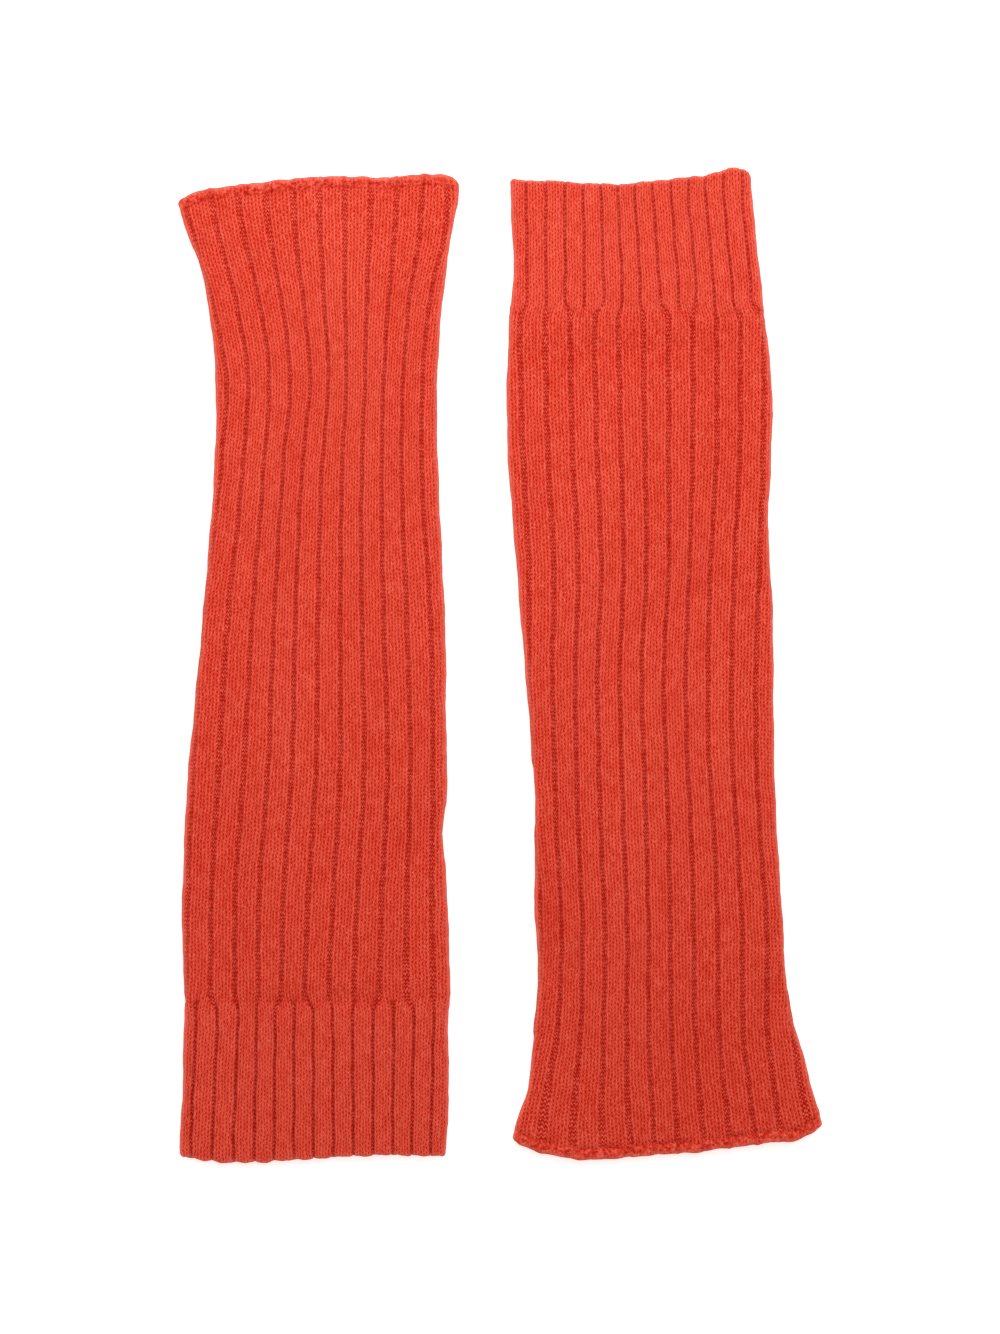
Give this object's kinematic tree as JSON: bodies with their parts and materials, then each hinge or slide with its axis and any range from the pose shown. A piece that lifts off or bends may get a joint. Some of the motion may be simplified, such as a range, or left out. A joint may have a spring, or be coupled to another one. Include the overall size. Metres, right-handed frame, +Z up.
{
  "type": "pair of arm warmers",
  "caption": "Pair of ribbed-knit tubular arm warmers with flared ends and narrow-rib wrist cuffs, laid flat head to tail beside each other.",
  "frame": {"origin": "on the surface that the pair lies on, under the middle of the pair's bounding box", "axes": "+Z up from that surface, +Y along the warmers towards the left one's flared end, +X from the left warmer to the right one, seen from above"},
  "size_m": [0.262, 0.4036, 0.0064],
  "materials": {
    "wide_rib": "soft heathered vermilion rib knit, three knit wales between purl channels, light nap",
    "narrow_rib": "the same yarn in a narrower, tighter rib with closed purl slits",
    "rolled_welt": "the same yarn as a small rolled cast-on edge"
  },
  "bodies": {
    "root": {"left_sleeve": "wide_rib", "left_cuff": "narrow_rib", "left_welt": "rolled_welt", "right_sleeve": "wide_rib", "right_cuff": "narrow_rib", "right_welt": "rolled_welt"}
  },
  "joints": []
}
